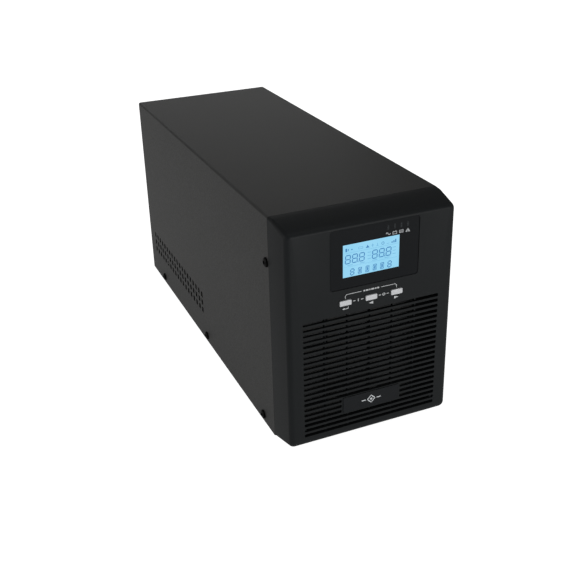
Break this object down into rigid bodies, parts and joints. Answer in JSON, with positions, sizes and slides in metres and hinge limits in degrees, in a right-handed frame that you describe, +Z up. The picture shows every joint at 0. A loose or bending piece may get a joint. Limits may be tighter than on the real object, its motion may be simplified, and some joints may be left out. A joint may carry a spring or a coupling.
{
  "type": "uninterruptible power supply",
  "caption": "Tower uninterruptible power supply: sheet-metal case, moulded front with louvred grille, lit display, push buttons, and rear sockets, inlet and fan.",
  "frame": {"origin": "on the floor, under the middle of the body", "axes": "+Z up, the display and grille face -Y, the sockets face +Y, +X to the right seen from the front"},
  "size_m": [0.1496, 0.4009, 0.198],
  "materials": {
    "cover_paint": "fine-textured matt black powder coat",
    "rear_panel_paint": "matt black powder coat",
    "chassis_steel": "galvanised sheet",
    "bezel_plastic": "fine spark-eroded texture",
    "badge": "smooth satin",
    "overlay_film": "smooth satin film",
    "display_glass": "backlit display",
    "light_guide": "smoked clear",
    "button_plastic": "satin moulded",
    "reset_button_plastic": "satin moulded",
    "black_screw": "black zinc",
    "rubber": "moulded",
    "red_wire": "pvc",
    "black_wire": "pvc",
    "battery_case": "moulded",
    "grey_cable": "pvc",
    "circuit_board": "solder mask",
    "heatsink": "mill finish",
    "capacitor_sleeve": "printed sleeve",
    "ferrite": "ground ferrite",
    "copper_winding": "enamelled copper",
    "nickel": "bright nickel",
    "green_plastic": "moulded",
    "black_plastic": "moulded"
  },
  "bodies": {
    "chassis": {"top_cover": "cover_paint", "base_pan": "chassis_steel", "front_bulkhead": "rear_panel_paint", "rear_panel": "rear_panel_paint", "front_bezel": "bezel_plastic", "badge_plate": "badge", "display_overlay": "overlay_film", "lcd_module": "display_glass", "light_guide": "light_guide", "display_board": "circuit_board", "display_cable": "grey_cable", "cover_screw_left_1": "black_screw", "cover_screw_right_1": "black_screw", "cover_screw_left_2": "black_screw", "cover_screw_right_2": "black_screw", "cover_screw_left_3": "black_screw", "cover_screw_right_3": "black_screw", "cover_screw_left_4": "black_screw", "cover_screw_right_4": "black_screw", "foot_front_left": "rubber", "foot_front_right": "rubber", "foot_rear_left": "rubber", "foot_rear_right": "rubber", "battery_1": "battery_case", "battery_2": "battery_case", "battery_3": "battery_case", "battery_4": "battery_case", "battery_retainer": "chassis_steel", "battery_lead_positive": "red_wire", "battery_lead_negative": "black_wire", "electronics_shelf": "chassis_steel", "main_board": "circuit_board", "heatsink_left": "heatsink", "heatsink_right": "heatsink", "bus_capacitor_1": "capacitor_sleeve", "bus_capacitor_2": "capacitor_sleeve", "bus_capacitor_3": "capacitor_sleeve", "bus_capacitor_4": "capacitor_sleeve", "power_transformer": "ferrite", "filter_inductor": "copper_winding", "relay_bank": "black_plastic", "control_board": "circuit_board", "fan_frame": "black_plastic", "fan_guard": "nickel", "output_socket_left": "black_plastic", "output_socket_right": "black_plastic", "ac_inlet": "black_plastic", "circuit_breaker": "black_plastic", "surge_jacks": "black_plastic", "usb_port": "nickel", "serial_port": "nickel", "epo_terminal": "green_plastic", "option_slot_cover": "rear_panel_paint", "earth_stud": "nickel"},
    "breaker_reset_button": {"breaker_reset_button": "reset_button_plastic"},
    "fan_rotor": {"fan_rotor": "black_plastic"},
    "menu_button_centre": {"menu_button_centre": "button_plastic"},
    "menu_button_left": {"menu_button_left": "button_plastic"},
    "menu_button_right": {"menu_button_right": "button_plastic"}
  },
  "joints": [
    {"name": "menu_button_left_press", "type": "slide", "parent": "chassis", "child": "menu_button_left", "axis": [0, 1, 0], "range_m": [0, 0.0008], "stiffness_N_per_m": 600},
    {"name": "menu_button_centre_press", "type": "slide", "parent": "chassis", "child": "menu_button_centre", "axis": [0, 1, 0], "range_m": [0, 0.0008], "stiffness_N_per_m": 600},
    {"name": "menu_button_right_press", "type": "slide", "parent": "chassis", "child": "menu_button_right", "axis": [0, 1, 0], "range_m": [0, 0.0008], "stiffness_N_per_m": 600},
    {"name": "fan_spin", "type": "hinge", "parent": "chassis", "child": "fan_rotor", "pos_m": [-0.027, 0.18, 0.15], "axis": [0, 1, 0], "continuous": true},
    {"name": "breaker_reset_slide", "type": "slide", "parent": "chassis", "child": "breaker_reset_button", "axis": [0, 1, 0], "range_m": [0, 0.003]}
  ]
}
